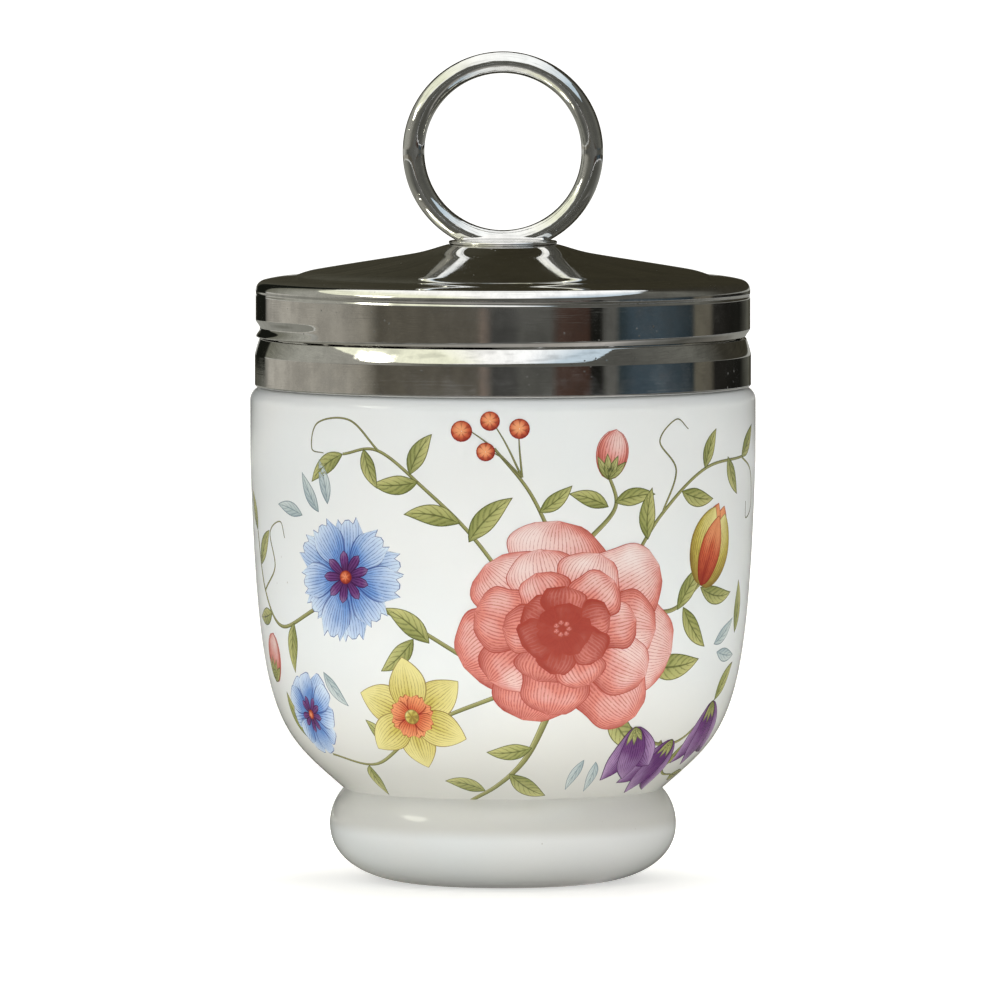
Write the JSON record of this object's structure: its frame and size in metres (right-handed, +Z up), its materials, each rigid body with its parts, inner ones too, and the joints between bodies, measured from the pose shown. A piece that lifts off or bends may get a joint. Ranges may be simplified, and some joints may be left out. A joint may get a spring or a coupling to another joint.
{
  "type": "egg coddler",
  "caption": "Footed porcelain cup with a cemented metal screw collar and a domed metal screw lid with an upright lifting ring.",
  "frame": {"origin": "middle of the foot, on the surface that the cup stands on", "axes": "+Z up along the cup's axis; +X to the right of the printed front, in the plane of the lifting ring; +Y to the back"},
  "size_m": [0.06, 0.06, 0.0985],
  "materials": {
    "porcelain": "glossy white glaze with a floral print",
    "print": "coloured print under the glaze",
    "collar_metal": "polished plating, lightly worn",
    "lid_metal": "polished plating, lightly worn",
    "ring_metal": "polished plating with small pits",
    "seat_metal": "polished plating",
    "cement": "matt, fine grained",
    "washer_metal": "dull"
  },
  "bodies": {
    "cup": {"porcelain_cup": "porcelain", "screw_collar": "collar_metal", "collar_cement": "cement"},
    "lid_backing": {"tang_washer": "washer_metal"},
    "lid": {"lid_shell": "lid_metal", "lifting_ring": "ring_metal", "ring_seat": "seat_metal"}
  },
  "joints": [
    {"name": "lid_rise", "type": "slide", "parent": "cup", "child": "lid_backing", "axis": [0, 0, 1], "range_m": [0, 0.0076]},
    {"name": "lid_turn", "type": "hinge", "parent": "lid_backing", "child": "lid", "pos_m": [0, 0, 0.065], "axis": [0, 0, 1], "range_deg": [0, 1350]}
  ],
  "couplings": [
    {"joint": "lid_rise", "follows": "lid_turn", "m_per_rad": 0.00031831}
  ]
}
